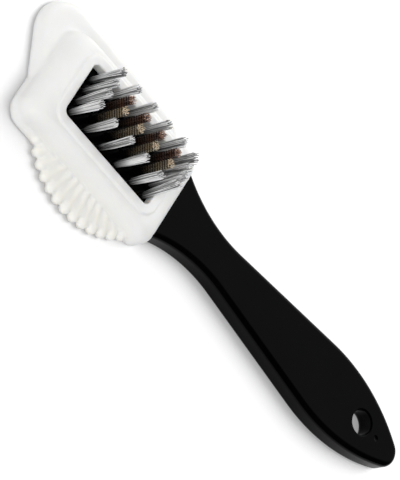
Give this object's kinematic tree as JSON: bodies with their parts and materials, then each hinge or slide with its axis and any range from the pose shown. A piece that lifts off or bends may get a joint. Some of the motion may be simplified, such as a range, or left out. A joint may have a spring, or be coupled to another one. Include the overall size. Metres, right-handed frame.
{
  "type": "suede brush",
  "caption": "Flat hand brush for suede shoes: brass and nylon tufts in a rubber sleeve with a rib fan and a smooth blade, on a flat handle with a hang hole.",
  "frame": {"origin": "middle of the head's flat back, the face that the brush lies on", "axes": "+X from the head to the hang hole, +Y from the rib fan to the blade, +Z out of the back towards the bristle tips"},
  "size_m": [0.1749, 0.0519, 0.0227],
  "materials": {
    "moulding": "smooth black injection moulding, glossy",
    "sleeve": "smooth off-white crepe-like rubber",
    "nylon": "translucent pale nylon strands",
    "brass_wire": "crimped brass-plated wire, dull",
    "anchor": "plain flat wire"
  },
  "bodies": {
    "root": {"handle": "moulding", "rubber_sleeve": "sleeve", "tuft_anchors": "anchor", "nylon_tuft_1": "nylon", "nylon_tuft_2": "nylon", "nylon_tuft_3": "nylon", "nylon_tuft_4": "nylon", "nylon_tuft_5": "nylon", "nylon_tuft_6": "nylon", "nylon_tuft_7": "nylon", "nylon_tuft_8": "nylon", "nylon_tuft_9": "nylon", "nylon_tuft_10": "nylon", "nylon_tuft_11": "nylon", "nylon_tuft_12": "nylon", "nylon_tuft_13": "nylon", "nylon_tuft_14": "nylon", "nylon_tuft_15": "nylon", "nylon_tuft_16": "nylon", "brass_tuft_1": "brass_wire", "brass_tuft_2": "brass_wire", "brass_tuft_3": "brass_wire", "brass_tuft_4": "brass_wire", "brass_tuft_5": "brass_wire", "brass_tuft_6": "brass_wire", "brass_tuft_7": "brass_wire", "brass_tuft_8": "brass_wire"}
  },
  "joints": []
}
